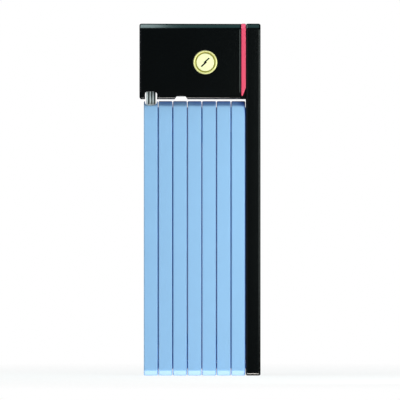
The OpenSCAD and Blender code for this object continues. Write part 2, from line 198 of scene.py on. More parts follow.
def rod(r, a, b, u, v, axis="X", segments=72):
    """Round bar of radius r from a to b along an axis, centred on (u, v)."""
    along, u_dir, v_dir = AXES[axis]
    bm = bmesh.new()
    bmesh.ops.create_cone(bm, cap_ends=True, segments=segments, radius1=r, radius2=r, depth=b - a)
    bmesh.ops.rotate(bm, matrix=Vector((0, 0, 1)).rotation_difference(along).to_matrix(), verts=bm.verts)
    bmesh.ops.translate(bm, vec=along * (a + b) / 2 + u_dir * u + v_dir * v, verts=bm.verts)
    return bm


def turned(profile, u, v, axis="Y", segments=96):
    """Solid of revolution from (radius, place along the axis) points; a closed profile is a ring."""
    along, u_dir, v_dir = AXES[axis]
    centre = u_dir * u + v_dir * v
    bm = bmesh.new()
    verts = [bm.verts.new(centre + u_dir * r + along * t) for r, t in profile]
    edges = [bm.edges.new(pair) for pair in zip(verts, verts[1:])]
    if profile[0][0] > 0:
        edges.append(bm.edges.new((verts[-1], verts[0])))
    bmesh.ops.spin(
        bm, geom=verts + edges, cent=centre, axis=along, angle=math.tau, steps=segments,
        use_merge=True)
    bmesh.ops.remove_doubles(bm, verts=bm.verts, dist=1e-7)
    bmesh.ops.recalc_face_normals(bm, faces=bm.faces)
    return bm


def rounded_outline(u0, u1, v0, v1, r, steps=6):
    """Rectangle with round corners."""
    corners = [(u1 - r, v1 - r, 0), (u0 + r, v1 - r, 1), (u0 + r, v0 + r, 2), (u1 - r, v0 + r, 3)]
    return [
        (u + r * math.cos(a), v + r * math.sin(a))
        for u, v, quarter in corners
        for a in [(quarter + i / steps) * math.pi / 2 for i in range(steps + 1)]
    ]


def edges_between(bm, low, high):
    """Edges whose faces meet at an angle between low and high degrees."""
    low, high = math.radians(low), math.radians(high)
    return [e for e in bm.edges if len(e.link_faces) == 2 and low < e.calc_face_angle(0) < high]


def soften(bm, width, segments=3, low=28, high=181, only=None):
    """Rounds the edges that meet at an angle in that range and, where only is given, pass its test."""
    edges = [e for e in edges_between(bm, low, high) if only is None or only(e)]
    bmesh.ops.bevel(
        bm, geom=edges, offset=width, offset_type="OFFSET", segments=segments, profile=0.5,
        affect="EDGES", material=-1, clamp_overlap=True)
    return bm


def as_object(name, bm):
    """Turns a finished bmesh into an object in the scene."""
    mesh = bpy.data.meshes.new(name)
    bm.to_mesh(mesh)
    bm.free()
    obj = bpy.data.objects.new(name, mesh)
    bpy.context.scene.collection.objects.link(obj)
    return obj


def combine(bm, others, operation="DIFFERENCE"):
    """Cuts the other shapes out of one, or joins them to it, in millimetres; gives a clean bmesh."""
    for shape in (bm, *others):
        bmesh.ops.scale(shape, vec=(1 / MM, 1 / MM, 1 / MM), verts=shape.verts)
    target = as_object("blank", bm)
    tools = [as_object("tool", other) for other in others]
    for tool in tools:
        step = target.modifiers.new("step", "BOOLEAN")
        step.operation, step.object, step.solver = operation, tool, "EXACT"
    bpy.context.view_layer.update()
    shaped = bpy.data.meshes.new_from_object(target.evaluated_get(bpy.context.evaluated_depsgraph_get()))
    out = bmesh.new()
    out.from_mesh(shaped)
    bpy.data.meshes.remove(shaped)
    for obj in [target, *tools]:
        mesh = obj.data
        bpy.data.objects.remove(obj)
        bpy.data.meshes.remove(mesh)
    bmesh.ops.remove_doubles(out, verts=out.verts, dist=1e-4)
    bmesh.ops.dissolve_degenerate(out, dist=1e-4, edges=out.edges)
    bmesh.ops.dissolve_limit(out, angle_limit=math.radians(0.05), verts=out.verts, edges=out.edges)
    bmesh.ops.scale(out, vec=(MM, MM, MM), verts=out.verts)
    if any(len(e.link_faces) != 2 for e in out.edges):
        raise RuntimeError(f"a shape is open after {operation.lower()} with {len(others)} tools")
    return out


def mark_rims(bm):
    """Writes 1 to the faces of rounded edges, and 0 to flats, into the attribute rim."""
    layer = bm.faces.layers.float.new("rim")
    for face in bm.faces:
        straight = max(abs(c) for c in face.normal) > 0.999
        face[layer] = 0.0 if straight or face.calc_area() > 12 * MM * MM else 1.0


def mark_shaded_grooves(bm, test):
    """Writes 1 into the attribute groove for the faces whose middle passes the test; these faces get painted
    shade.
    """
    layer = bm.faces.layers.float.new("groove")
    for face in bm.faces:
        face[layer] = 1.0 if test(face.calc_center_median()) else 0.0


def piece(name, bm, material, body, nodes=(), smooth=32, rims=True):
    """Finishes a shape as a piece that rides on a body and stands for CAD nodes."""
    if rims:
        mark_rims(bm)
    obj = as_object(name, bm)
    obj.data.materials.append(material)
    obj.data.shade_smooth()
    obj.data.set_sharp_from_angle(angle=math.radians(smooth))
    weights = obj.modifiers.new("normals", "WEIGHTED_NORMAL")
    weights.keep_sharp = True
    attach(obj, body)
    if nodes:
        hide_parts(*nodes)
    return obj


# ---- Materials ----

def node_tree(name):
    """New material with its shader; gives the material, its tree, its shader and a maker of nodes."""
    material = bpy.data.materials.new(name)
    material.use_nodes = True
    tree = material.node_tree
    shader = tree.nodes["Principled BSDF"]

    def add(kind, inputs=None, **values):
        node = tree.nodes.new(kind)
        for key, value in values.items():
            setattr(node, key, value)
        for key, value in (inputs or {}).items():
            if isinstance(value, bpy.types.NodeSocket):
                tree.links.new(value, node.inputs[key])
            else:
                node.inputs[key].default_value = value
        return node

    return material, tree, shader, add


def mixed(add, factor, a, b):
    """Colour between a and b."""
    node = add("ShaderNodeMix", data_type="RGBA")
    for index, value in ((0, factor), (6, a), (7, b)):
        if isinstance(value, bpy.types.NodeSocket):
            node.id_data.links.new(value, node.inputs[index])
        else:
            node.inputs[index].default_value = value if index == 0 else (*value[:3], 1)
    return node.outputs[2]


def ranged(add, value, low, high):
    """Spreads a value from 0 to 1 over low to high."""
    return add("ShaderNodeMapRange", {"Value": value, "To Min": low, "To Max": high}).outputs[0]


def noise(add, place, size, detail=3.0, stretch=(1, 1, 1)):
    """Noise with features of about that size in metres."""
    scale = [s / size for s in stretch]
    mapping = add("ShaderNodeMapping", {"Vector": place, "Scale": scale})
    inputs = {"Vector": mapping.outputs[0], "Scale": 1.0, "Detail": detail}
    return add("ShaderNodeTexNoise", inputs).outputs[0]


def shade(colour, factor):
    """A colour made darker or lighter, with no channel above 1."""
    return tuple(min(c * factor, 1) for c in colour)


def moulded_plastic(
        name, colour, roughness, grain, depth, mottle=0.05, edge_wear_and_highlight=1.15, specular=0.5, painted_shade_colour=None):
    """Moulded plastic with a fine spark-eroded grain and faint mottling; rounded edges are lightened as
    rubbed wear and as a painted highlight, and, given a shade colour, crevices get painted shade.
    """
    material, tree, shader, add = node_tree(name)
    place = add("ShaderNodeTexCoord").outputs["Object"]
    wide = noise(add, place, 14 * MM, 2)
    fine = noise(add, place, grain, 4)
    rim = add("ShaderNodeAttribute", attribute_name="rim").outputs["Fac"]
    base = mixed(add, wide, shade(colour, 1 - mottle), shade(colour, 1 + mottle))
    # rounded edges lighter: partly rubbed wear, partly a painted highlight
    rubbed_and_highlit = mixed(add, fine, shade(colour, edge_wear_and_highlight), shade(colour, 1 + 0.5 * (edge_wear_and_highlight - 1)))
    amount = add("ShaderNodeMath", {0: rim, 1: 0.5}, operation="MULTIPLY").outputs[0]
    surface = mixed(add, amount, base, rubbed_and_highlit)
    # painted shade: where the Ambient Occlusion node finds other surfaces within 5 mm, the colour goes to the
    # shade colour
    if painted_shade_colour:
        open_sky = add("ShaderNodeAmbientOcclusion", {"Distance": 5 * MM}, samples=8).outputs["AO"]
        surface = mixed(add, ranged(add, open_sky, -0.5, 1.25), painted_shade_colour, surface)
    tree.links.new(surface, shader.inputs["Base Color"])
    tree.links.new(ranged(add, fine, roughness - 0.05, roughness + 0.07), shader.inputs["Roughness"])
    bump = add("ShaderNodeBump", {"Height": fine, "Strength": 0.35, "Distance": depth})
    tree.links.new(bump.outputs[0], shader.inputs["Normal"])
    shader.inputs["Specular IOR Level"].default_value = specular
    return material


def paint_groove_shade(add, colour, painted_shade_colour):
    """Colour with painted shade: the faces marked as grooves take the shade colour."""
    groove = add("ShaderNodeAttribute", attribute_name="groove").outputs["Fac"]
    return mixed(add, groove, colour, painted_shade_colour)


def metal(
        name, colour, roughness, stretch=(1, 1, 1), grain=0.2 * MM, depth=0.004 * MM,
        tarnish=0.12, metallic=1.0):
    """Metal with fine grinding marks drawn out along one axis, and faint tarnish; faces marked as grooves get
    painted shade.
    """
    material, tree, shader, add = node_tree(name)
    place = add("ShaderNodeTexCoord").outputs["Object"]
    marks = noise(add, place, grain, 3, stretch)
    stain = noise(add, place, 5 * MM, 3)
    surface = mixed(add, stain, shade(colour, 1 - tarnish), colour)
    # painted shade: faces marked as grooves take a near-black colour
    tree.links.new(paint_groove_shade(add, surface, (0.02, 0.035, 0.035)), shader.inputs["Base Color"])
    tree.links.new(ranged(add, marks, roughness - 0.06, roughness + 0.08), shader.inputs["Roughness"])
    bump = add("ShaderNodeBump", {"Height": marks, "Strength": 0.4, "Distance": depth})
    tree.links.new(bump.outputs[0], shader.inputs["Normal"])
    shader.inputs["Metallic"].default_value = metallic
    return material


def turned_metal(
        name, colour, roughness, centre, flat, pitch=0.16 * MM, depth=0.004 * MM, tarnish=0.1, metallic=1.0,
        painted_shade_colour=(0.02, 0.02, 0.015)):
    """Metal with rings from the lathe round a centre; flat holds 0 for the axis that the rings run round;
    faces marked as grooves get painted shade in the shade colour.
    """
    material, tree, shader, add = node_tree(name)
    place = add("ShaderNodeTexCoord").outputs["Object"]
    centred = add("ShaderNodeVectorMath", {0: place, 1: centre}, operation="SUBTRACT").outputs[0]
    plane = add("ShaderNodeVectorMath", {0: centred, 1: flat}, operation="MULTIPLY").outputs[0]
    radius = add("ShaderNodeVectorMath", {0: plane}, operation="LENGTH").outputs["Value"]
    jitter = noise(add, place, 2.5 * MM, 2)
    turns = add("ShaderNodeMath", {0: radius, 1: math.tau / pitch}, operation="MULTIPLY").outputs[0]
    wobble = add("ShaderNodeMath", {0: jitter, 1: 3.0, 2: turns}, operation="MULTIPLY_ADD").outputs[0]
    rings = add("ShaderNodeMath", {0: wobble}, operation="SINE").outputs[0]
    stain = noise(add, place, 3 * MM, 3)
    surface = mixed(add, stain, shade(colour, 1 - tarnish), colour)
    # painted shade: faces marked as grooves take the shade colour
    tree.links.new(paint_groove_shade(add, surface, painted_shade_colour), shader.inputs["Base Color"])
    tree.links.new(ranged(add, stain, roughness - 0.06, roughness + 0.08), shader.inputs["Roughness"])
    bump = add("ShaderNodeBump", {"Height": rings, "Strength": 0.35, "Distance": depth})
    tree.links.new(bump.outputs[0], shader.inputs["Normal"])
    shader.inputs["Metallic"].default_value = metallic
    return material


_made = {}


def finish(name):
    """Each finish of the lock, made once."""
    if name in _made:
        return _made[name]
    scene = bpy.context.scene
    links, body, metals = scene.foldlock_links, scene.foldlock_body, scene.foldlock_metal
    cylinder = tuple(CYLINDER)
    makers = {
        # the rim factors (1.12, 2.2, 1.1) lighten rounded edges, as rubbed wear and as a painted highlight
        "link_plastic": lambda: moulded_plastic(
            "link_plastic", tuple(links.colour), 0.42, 0.28 * MM, 0.012 * MM, 0.03, 1.12, 0.4,
            tuple(links.painted_shade_colour)),
        "black_plastic": lambda: moulded_plastic(
            "black_plastic", tuple(body.colour), 0.17, 0.22 * MM, 0.004 * MM, 0.15, 2.2, 0.3),
        "accent_plastic": lambda: moulded_plastic(
            "accent_plastic", tuple(body.accent), 0.38, 0.25 * MM, 0.008 * MM, 0.04, 1.1, 0.4),
        # the darker brass here is painted shade for the collar's recessed ring
        "brass": lambda: turned_metal(
            "brass", tuple(metals.brass), 0.4, cylinder, (1, 0, 1), metallic=0.35, painted_shade_colour=(0.42, 0.36, 0.05)),
        "brass_face": lambda: turned_metal(
            "brass_face", (0.98, 0.90, 0.52), 0.38, cylinder, (1, 0, 1), metallic=0.15, tarnish=0.06),
        "tongue_steel": lambda: metal(
            "tongue_steel", tuple(metals.steel), 0.3, (1, 1, 0.05), 0.25 * MM, 0.002 * MM, 0.05, 0.3),
        "bar_steel": lambda: metal("bar_steel", (0.45, 0.46, 0.47), 0.38, (1, 1, 0.08)),
        "washer_steel": lambda: metal("washer_steel", (0.55, 0.56, 0.57), 0.32, (0.2, 1, 1)),
        "case_steel": lambda: metal("case_steel", (0.10, 0.10, 0.105), 0.45, (0.1, 1, 1), 0.4 * MM),
        "screw_steel": lambda: metal("screw_steel", (0.07, 0.07, 0.075), 0.35),
        "disc_brass": lambda: metal("disc_brass", shade(tuple(metals.brass), 0.8), 0.35, (1, 0.1, 1)),
    }
    _made[name] = makers[name]()
    return _made[name]


def rivet_finish(name, k):
    """Turned steel with rings round pivot k."""
    steel = tuple(bpy.context.scene.foldlock_metal.steel)
    return turned_metal(name, shade(steel, 0.9), 0.28, (0, 0, pivot_z(k)), (0, 1, 1), 0.3 * MM)


# ---- Links ----

def link_openings(k, x0, x1, width):
    """Cutters over the pivots of link k: a recess for the rivet head and a seat for the washer."""
    mid = (x0 + x1) / 2
    head_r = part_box(f"pivot_rivet_{k}")[1].y + 0.1 * MM
    washer_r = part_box(f"pivot_washer_{k}")[1].y + 0.2 * MM
    bar_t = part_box("link_1_bar")[1].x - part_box("link_1_bar")[0].x
    shaft_share = 0.62  # of the head radius, so that the hole clears the shaft
    cutters = []
    for j in (k, k + 1):
        if j > LAST:
            continue
        head = -1 if j == k else 1
        for side, r in ((head, head_r), (-head, washer_r)):
            a, b = mid + side * (bar_t / 2 - 0.1 * MM), mid + side * width
            cutters.append(rod(r, min(a, b), max(a, b), 0, pivot_z(j)))
        cutters.append(rod(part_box(f"pivot_rivet_{j}")[1].y * shaft_share, x0 - MM, x1 + MM, 0, pivot_z(j)))
    return cutters


def link_sleeve(k):
    """Plastic cover of link k."""
    settings = bpy.context.scene.foldlock_links
    lo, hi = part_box(f"link_{k}_sleeve")
    bm = block(lo, hi)
    corner = [e for e in bm.edges if abs(e.verts[0].co.x - e.verts[1].co.x) > MM]
    bmesh.ops.bevel(bm, geom=corner, offset=settings.chamfer, offset_type="OFFSET", segments=1,
                    profile=0.5, affect="EDGES", material=-1)
    soften(bm, settings.edge, 4)
    width = hi.x - lo.x
    mid_z = (lo.z + hi.z) / 2
    panel_half, panel_rim, panel_depth = 22.5 * MM, 2.5 * MM, 0.3 * MM
    pivot_clear = 11 * MM
    cutters = link_openings(k, lo.x, hi.x, width)
    panels = []
    for face in (lo.x, hi.x):
        for end in (-1, 1):
            far = joint(f"pivot_{1 if end < 0 else 2}")["pos_m"][2] - end * (pivot_clear + 0.7 * MM)
            near = mid_z + end * panel_half
            outline = rounded_outline(
                lo.y + panel_rim, hi.y - panel_rim, min(near, far), max(near, far), 3 * MM)
            panels.append(prism(outline, face - panel_depth, face + panel_depth))
    bm = combine(bm, panels)
    rings = [rod(settings.boss_r, hi.x - 0.5 * MM, hi.x + settings.boss_h, 0, pivot_z(k))]
    strip = rounded_outline(-8.5 * MM, 8.5 * MM, lo.z + 3.6 * MM, hi.z - 3.2 * MM, 7 * MM)
    rings.append(prism(strip, hi.x - 0.6 * MM, hi.x + settings.strip_h))
    bm = combine(bm, rings, "UNION")
    b_lo, b_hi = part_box(f"link_{k}_bar")
    cutters.append(block(b_lo, (b_hi.x, b_hi.y, min(b_hi.z, hi.z - 1.5 * MM))))
    if k == LAST:
        t_lo, t_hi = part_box(f"link_{LAST}_bar")
        notch = 0.7 * MM
        outline = rounded_outline(t_lo.x - notch, t_hi.x + notch, hi.z - 2.4 * MM, hi.z + 8 * MM, 2.2 * MM)
        cutters.append(prism(outline, -hi.y - MM, hi.y + MM, "Y"))
    bm = combine(bm, cutters)
    soften(bm, 0.12 * MM, 2, 55)
    return piece(
        f"link_{k}_cover", bm, finish("link_plastic"), f"link_{k}", [f"link_{k}_sleeve"])


class FOLDLOCK_OT_links(bpy.types.Operator):
    """Makes the plastic covers of the seven links"""
    bl_idname = "foldlock.links"
    bl_label = "Link covers"

    def execute(self, context):
        for k in LINKS:
            link_sleeve(k)
        return {"FINISHED"}


def rivet(k):
    """Rivet k with a slightly domed and dished head at each end."""
    lo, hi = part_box(f"pivot_rivet_{k}")
    head_r, shaft_r = hi.y, 4 * MM
    head_l, head_r_l = 1.1 * MM, 1.1 * MM if k > 1 else 1.3 * MM
    edge, dish_r, dish = 0.3 * MM, 3.1 * MM, 0.25 * MM
    profile = [
        (0, lo.x + dish), (dish_r - edge, lo.x + dish), (dish_r, lo.x + 0.03 * MM), (head_r - edge, lo.x),
        (head_r - 0.3 * edge, lo.x + 0.3 * edge), (head_r, lo.x + edge), (head_r, lo.x + head_l),
        (shaft_r, lo.x + head_l), (shaft_r, hi.x - head_r_l),
        (head_r, hi.x - head_r_l), (head_r, hi.x - edge),
        (head_r - 0.3 * edge, hi.x - 0.3 * edge), (head_r - edge, hi.x), (dish_r, hi.x - 0.03 * MM),
        (dish_r - edge, hi.x - dish), (0, hi.x - dish),
    ]
    bm = turned(profile, 0, pivot_z(k), "X", 64)
    body = "lock_body" if k == 1 else f"link_{k - 1}"
    piece(
        f"rivet_{k}", bm, rivet_finish(f"rivet_steel_{k}", k), body, [f"pivot_rivet_{k}"],
        40, False)


def washer(k):
    """Washer k with broken edges."""
    lo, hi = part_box(f"pivot_washer_{k}")
    r, bore, edge = hi.y, 4.01 * MM, 0.25 * MM
    profile = [
        (bore, lo.x), (r - edge, lo.x), (r, lo.x + edge),
        (r, hi.x - edge), (r - edge, hi.x), (bore, hi.x)]
    bm = turned(profile, 0, pivot_z(k), "X", 64)
    body = "lock_body" if k == 1 else f"link_{k - 1}"
    piece(f"washer_{k}", bm, finish("washer_steel"), body, [f"pivot_washer_{k}"], 40, False)


class FOLDLOCK_OT_pivots(bpy.types.Operator):
    """Makes the rivets and washers of the seven pivots"""
    bl_idname = "foldlock.pivots"
    bl_label = "Rivets and washers"

    def execute(self, context):
        for k in LINKS:
            rivet(k)
            washer(k)
        return {"FINISHED"}


class FOLDLOCK_OT_tongue(bpy.types.Operator):
    """Makes the last link's steel bar with its polished tongue"""
    bl_idname = "foldlock.tongue"
    bl_label = "Tongue"

    def execute(self, context):
        lo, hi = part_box(f"link_{LAST}_bar")
        half_w, tip_r, foot = 9 * MM, 6 * MM, 10 * MM
        top_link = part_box(f"link_{LAST}_sleeve")[1].z
        tongue = rounded_outline(-half_w, half_w, top_link - foot - tip_r, hi.z, tip_r, 12)
        bm = combine(
            prism(tongue, lo.x, hi.x),
            [block((lo.x, lo.y, lo.z), (hi.x, hi.y, top_link - 1.5 * MM))], "UNION")
        bolt_z = (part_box("locking_bolt")[0].z + 3.5 * MM)
        groove = 0.5 * MM
        places = [(lo.x + 1.4 * MM, 0.38 * MM), (lo.x + 2.95 * MM, 0.32 * MM), (lo.x + 4.5 * MM, 0.36 * MM)]
        cutters = [
            rod(3.8 * MM, lo.x - MM, hi.x + MM, 0, bolt_z),
            rod(4.05 * MM, lo.x - MM, hi.x + MM, 0, pivot_z(LAST))]
        bm = combine(bm, cutters)
        soften(bm, 1.15 * MM, 5, 60, only=lambda e: max(abs(v.co.y) for v in e.verts) > 7 * MM
               and min(v.co.z for v in e.verts) > top_link - 1.4 * MM
                and abs(e.verts[0].co.x - e.verts[1].co.x) < 1e-5)
        slots = []
        for side in (-1, 1):
            for x, half in places:
                slots.append(block(
                    (x - half, side * half_w - groove, top_link - 6 * MM),
                    (x + half, side * half_w + groove, hi.z + MM)))
        bm = combine(bm, slots)
        # painted shade: the faces of the grooves near the tongue's edges are painted near black, to stand for
        # the dark reflection lines of a polished edge
        mark_shaded_grooves(bm, lambda c: c.z > top_link - 5 * MM and abs(c.y) > 6 * MM
                     and any(abs(c.x - x) <= half * 1.01 for x, half in places))
        soften(bm, 0.12 * MM, 2, 60)
        piece(
            "tongue_bar", bm, finish("tongue_steel"), f"link_{LAST}", [f"link_{LAST}_bar"])
        return {"FINISHED"}


# ---- Lock body ----

TOP_H, TOP_D, LOW_H, LOW_D = 2.5 * MM, 2.3 * MM, 5.6 * MM, 2.2 * MM


def body_outline(inset=0.0):
    """Side outline of the lock body, moved in by inset."""
    half, z0, z1 = BODY_HALF - inset, BODY_LO.z + inset, BODY_HI.z - inset
    low = math.hypot(LOW_D, LOW_H)
    top = math.hypot(TOP_D, TOP_H)
    low_y = BODY_HALF - LOW_D - inset * (low - LOW_D) / LOW_H
    low_z = BODY_LO.z + LOW_H + inset * (low - LOW_H) / LOW_D
    top_y = BODY_HALF - TOP_D - inset * (top - TOP_D) / TOP_H
    top_z = BODY_HI.z - TOP_H - inset * (top - TOP_H) / TOP_D
    right = [(low_y, z0), (half, low_z), (half, top_z), (top_y, z1)]
    return right + [(-y, z) for y, z in reversed(right)]


def recess(x0, x1):
    """Cutter for the space under the body in which the link ends turn."""
    half = 11 * MM
    return block((x0, -half, BODY_LO.z - MM), (x1, half, BODY_LO.z + 3 * MM))


def tongue_ways():
    """Cutters for the tongue's slot, open to the rear, and the arch in front of it."""
    lo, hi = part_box(f"link_{LAST}_bar")
    x, z0 = (lo.x + hi.x) / 2, BODY_LO.z - MM
    slot_half, arch_half, arch_z = 3.2 * MM, 3.6 * MM, BODY_LO.z + 3.8 * MM
    slot_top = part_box("lock_case")[0].z + 13.1 * MM
    slot = rounded_outline(x - slot_half, x + slot_half, z0 - 4 * MM, slot_top, 1.2 * MM)
    arch = rounded_outline(x - arch_half, x + arch_half, z0 - 4 * MM, arch_z, 2.2 * MM, 8)
    return [
        prism(slot, -9.6 * MM, BODY_HALF + MM, "Y"),
        prism(arch, -BODY_HALF - MM, -9.4 * MM, "Y"),
    ]


def guide_groove():
    """Cutter for the groove in the underside."""
    x, half, slope, height = BODY_LO.x + 22.1 * MM, 3.3 * MM, 0.9 * MM, 1.5 * MM
    z0, z1 = BODY_LO.z - MM, BODY_LO.z + height
    outline = [(x - half - slope, z0), (x + half + slope, z0), (x + half - slope, z1), (x - half + slope, z1)]
    return prism(outline, -BODY_HALF - MM, BODY_HALF + MM, "Y")


class FOLDLOCK_OT_covers(bpy.types.Operator):
    """Makes the front and rear covers of the lock body"""
    bl_idname = "foldlock.covers"
    bl_label = "Body covers"

    def execute(self, context):
        settings = context.scene.foldlock_body
        x0, x1 = BODY_LO.x, BODY_HI.x
        half = BODY_HALF + MM
        corners = body_outline()[:4]

        def outside(e):
            seam = all(abs(v.co.y) < 1e-6 for v in e.verts)
            end = all(v.co.x < x0 + 1e-6 for v in e.verts)
            along = all(
                any(math.hypot(abs(v.co.y) - y, v.co.z - z) < 5e-6 for y, z in corners)
                for v in e.verts)
            return not seam and (end or along)

        def shell(side, cutters):
            """Half of the body shell: side -1 is the front, 1 the rear."""
            right = [(side * y, z) for y, z in corners]
            bm = prism([(0, right[0][1]), *right, (0, right[-1][1])], x0, x1)
            inner = body_outline(settings.wall)
            floor = BODY_LO.z + 2.6 * MM
            cavity = prism(
                [(side * -MM, floor), (side * inner[0][0], floor), *[(side * y, z) for y, z in inner[1:4]],
                 (side * -MM, inner[3][1])], x0 + settings.wall, x1 - settings.wall)
            bm = combine(bm, [cavity, recess(x0 + settings.wall, x1 + MM), guide_groove(), *cutters])
            soften(bm, settings.edge, 4, 28, only=outside)
            return soften(bm, settings.seam, 2, 50)

        slot, arch = tongue_ways()
        hole = rod(SHELL_HI.x - CYLINDER.x + 0.3 * MM, -half, MM, CYLINDER.x, CYLINDER.z, "Y", 96)
        front = shell(-1, [slot, arch, hole])
        piece("front_moulding", front, finish("black_plastic"), "lock_body", ["front_cover"])

        step, inside = BODY_HALF - 1.3 * MM, BODY_HALF - settings.wall - 0.7 * MM
        profile = [
            (0, half), (2.5 * MM, half), (2.5 * MM, step),
            (1.35 * MM, step), (1.35 * MM, inside), (0, inside)]
        rear = shell(1, [tongue_ways()[0], *[turned(profile, x, z, "Y", 40) for x, z in screw_places()]])
        piece("rear_moulding", rear, finish("black_plastic"), "lock_body", ["rear_cover"])
        return {"FINISHED"}


def screw_places():
    """Axes of the cover screws, found from the screws' own meshes."""
    face_depth, same_screw = 0.5 * MM, 6 * MM
    heads = []
    for v in frame["nodes"]["cover_screws"].data.vertices:
        if v.co.y > BODY_HALF - face_depth:
            near = next((
                h for h in heads
                if (Vector((h[0], h[1])) - Vector((v.co.x, v.co.z))).length < same_screw), None)
            if near:
                near[2].append((v.co.x, v.co.z))
            else:
                heads.append((v.co.x, v.co.z, [(v.co.x, v.co.z)]))
    places = []
    for _, _, points in heads:
        xs, zs = [p[0] for p in points], [p[1] for p in points]
        places.append(((min(xs) + max(xs)) / 2, (min(zs) + max(zs)) / 2))
    return places


class FOLDLOCK_OT_screws(bpy.types.Operator):
    """Makes the socket screws of the rear cover"""
    bl_idname = "foldlock.screws"
    bl_label = "Cover screws"

    def execute(self, context):
        head_r, head_h, shaft_r, edge = 2.4 * MM, 1.2 * MM, 1.25 * MM, 0.25 * MM
        y1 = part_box("cover_screws")[1].y
        y0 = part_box("cover_screws")[0].y
        made = bmesh.new()
        for x, z in screw_places():
            profile = [
                (0, y1), (head_r - edge, y1), (head_r, y1 - edge), (head_r, y1 - head_h),
                (shaft_r, y1 - head_h), (shaft_r, y0 + edge), (shaft_r - edge, y0), (0, y0),
            ]
            bm = turned(profile, x, z, "Y", 48)
            socket = rod(1.3 * MM, y1 - 0.95 * MM, y1 + MM, x, z, "Y", 6)
            bm = combine(bm, [socket])
            mesh = bpy.data.meshes.new("screw")
            bm.to_mesh(mesh)
            bm.free()
            made.from_mesh(mesh)
            bpy.data.meshes.remove(mesh)
        piece("socket_screws", made, finish("screw_steel"), "lock_body", ["cover_screws"])
        return {"FINISHED"}


class FOLDLOCK_OT_accent(bpy.types.Operator):
    """Makes the accent plate and the black foot under it"""
    bl_idname = "foldlock.accent"
    bl_label = "Accent plate"

    def execute(self, context):
        x0, x1 = ACCENT_LO.x, ACCENT_HI.x
        gap = 0.06 * MM
        split_high, split_low = BODY_LO.z + 6 * MM, BODY_LO.z + 1.6 * MM
        foot_right = x1 + MM
        above = [(x0 - MM, split_low), (x0 + 0.9 * MM, split_low), (x1, split_high), (foot_right, split_high),
                 (foot_right, BODY_HI.z + MM), (x0 - MM, BODY_HI.z + MM)]
        below = [(x0 - MM, split_low), (x0 + 0.9 * MM, split_low), (x1, split_high), (foot_right, split_high),
                 (foot_right, BODY_LO.z - MM), (x0 - MM, BODY_LO.z - MM)]
        for name, outline, material in (
                ("accent_stripe", above, "accent_plastic"), ("accent_foot", below, "black_plastic")):
            bm = prism(body_outline(), x0 + gap, x1 - gap)
            bm = combine(bm, [recess(x0 - MM, x1 + MM)])
            bm = combine(bm, [prism(outline, -BODY_HALF - MM, BODY_HALF + MM, "Y")], "INTERSECT")
            soften(bm, 0.35 * MM if name == "accent_stripe" else 0.15 * MM, 3, 28)
            piece(name, bm, finish(material), "lock_body", ["accent_plate"])
        return {"FINISHED"}


class FOLDLOCK_OT_end_bar(bpy.types.Operator):
    """Makes the cover of the fixed end bar"""
    bl_idname = "foldlock.end_bar"
    bl_label = "End bar cover"

    def execute(self, context):
        settings = context.scene.foldlock_body
        x0, x1 = END_LO.x, END_HI.x
        foot, half, flare = 1.6 * MM, 13 * MM, 8 * MM
        upper = body_outline()[1:4]
        right = [
            (half - foot, 0), (half, foot), (half, BODY_LO.z - flare), (BODY_HALF, BODY_LO.z),
            *upper[1:]]
        outline = right + [(-y, z) for y, z in reversed(right)]
        bm = prism(outline, x0, x1)
        soften(bm, settings.edge, 4, 28)
        bar_lo, bar_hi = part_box("end_bar")
        head_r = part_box("pivot_rivet_1")[1].y + 0.1 * MM
        washer_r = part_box("pivot_washer_1")[1].y + 0.1 * MM
        z = pivot_z(1)
        cutters = [
            block(bar_lo, bar_hi),
            rod(head_r, bar_hi.x - 0.2 * MM, x1 + MM, 0, z),
            rod(washer_r, x0 - MM, bar_lo.x + 0.2 * MM, 0, z),
        ]
        bm = combine(bm, cutters)
        soften(bm, 0.15 * MM, 2, 55)
        piece(
            "end_bar_moulding", bm, finish("black_plastic"), "lock_body", ["end_bar_cover"])
        return {"FINISHED"}


# ---- Key cylinder ----

def slot_outline(length, width, cx, cz, degrees):
    """Slot with square ends, turned by an angle round its own middle."""
    turn = math.radians(degrees)
    corners = [
        (length / 2, width / 2), (-length / 2, width / 2),
        (-length / 2, -width / 2), (length / 2, -width / 2)]
    return [
        (cx + u * math.cos(turn) - v * math.sin(turn), cz + u * math.sin(turn) + v * math.cos(turn))
        for u, v in corners
    ]


